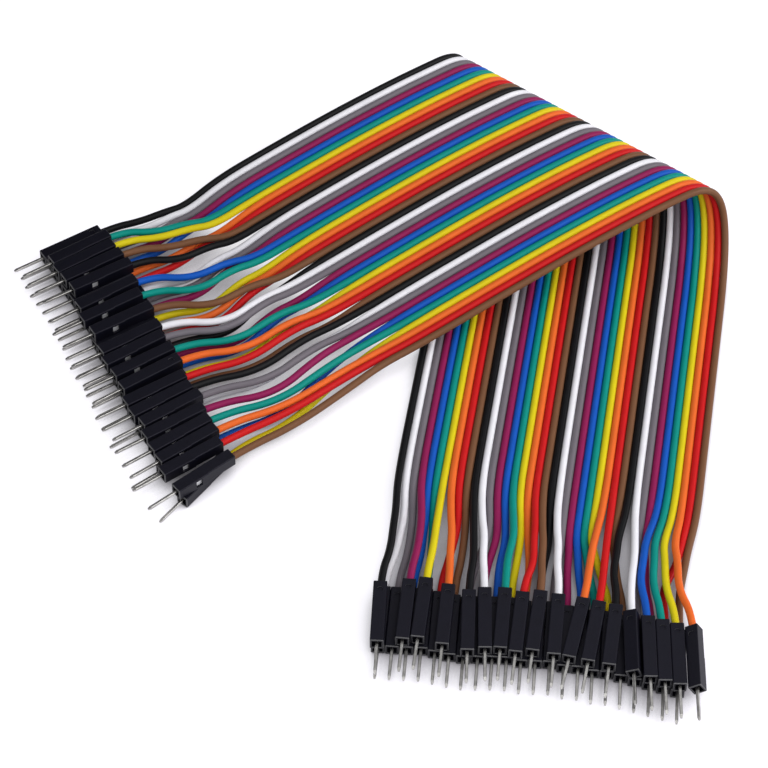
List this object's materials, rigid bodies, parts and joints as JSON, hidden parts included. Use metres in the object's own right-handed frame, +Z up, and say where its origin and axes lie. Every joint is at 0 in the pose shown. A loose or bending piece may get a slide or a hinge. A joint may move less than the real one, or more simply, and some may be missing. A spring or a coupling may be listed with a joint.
{
  "type": "jumper wire ribbon",
  "caption": "Flat ribbon of bonded rainbow jumper wires, folded once on the skew, with single black pin housings fanned out at both ends.",
  "frame": {"origin": "centre of the bounding box on the table plane", "axes": "+Z up off the table, through the ribbon's thin direction; +Y along the lower half of the ribbon, from its pins towards the fold"},
  "size_m": [0.1457, 0.148, 0.0178],
  "materials": {
    "jacket_black": "satin soft insulation",
    "jacket_white": "satin soft insulation",
    "jacket_grey": "satin soft insulation",
    "jacket_purple": "satin soft insulation",
    "jacket_blue": "satin soft insulation",
    "jacket_green": "satin soft insulation",
    "jacket_yellow": "satin soft insulation",
    "jacket_orange": "satin soft insulation",
    "jacket_red": "satin soft insulation",
    "jacket_brown": "satin soft insulation",
    "housing": "moulded black, fine matt skin",
    "terminal": "bright tin plating"
  },
  "bodies": {
    "root": {"wire_01_black": "jacket_black", "wire_02_white": "jacket_white", "wire_03_grey": "jacket_grey", "wire_04_purple": "jacket_purple", "wire_05_blue": "jacket_blue", "wire_06_green": "jacket_green", "wire_07_yellow": "jacket_yellow", "wire_08_orange": "jacket_orange", "wire_09_red": "jacket_red", "wire_10_brown": "jacket_brown", "wire_11_black": "jacket_black", "wire_12_white": "jacket_white", "wire_13_grey": "jacket_grey", "wire_14_purple": "jacket_purple", "wire_15_blue": "jacket_blue", "wire_16_green": "jacket_green", "wire_17_yellow": "jacket_yellow", "wire_18_orange": "jacket_orange", "wire_19_red": "jacket_red", "wire_20_brown": "jacket_brown", "wire_21_black": "jacket_black", "wire_22_white": "jacket_white", "wire_23_grey": "jacket_grey", "wire_24_purple": "jacket_purple", "wire_25_blue": "jacket_blue", "wire_26_green": "jacket_green", "wire_27_yellow": "jacket_yellow", "wire_28_orange": "jacket_orange", "wire_29_red": "jacket_red", "wire_30_brown": "jacket_brown", "wire_31_black": "jacket_black", "wire_32_white": "jacket_white", "wire_33_grey": "jacket_grey", "wire_34_purple": "jacket_purple", "wire_35_blue": "jacket_blue", "wire_36_green": "jacket_green", "wire_37_yellow": "jacket_yellow", "wire_38_orange": "jacket_orange", "wire_39_red": "jacket_red", "wire_40_brown": "jacket_brown", "front_housings_bank_1": "housing", "front_terminals_bank_1": "terminal", "front_housings_bank_2": "housing", "front_terminals_bank_2": "terminal", "front_housings_bank_3": "housing", "front_terminals_bank_3": "terminal", "front_housings_bank_4": "housing", "front_terminals_bank_4": "terminal", "back_housings_bank_1": "housing", "back_terminals_bank_1": "terminal", "back_housings_bank_2": "housing", "back_terminals_bank_2": "terminal", "back_housings_bank_3": "housing", "back_terminals_bank_3": "terminal", "back_housings_bank_4": "housing", "back_terminals_bank_4": "terminal"}
  },
  "joints": []
}
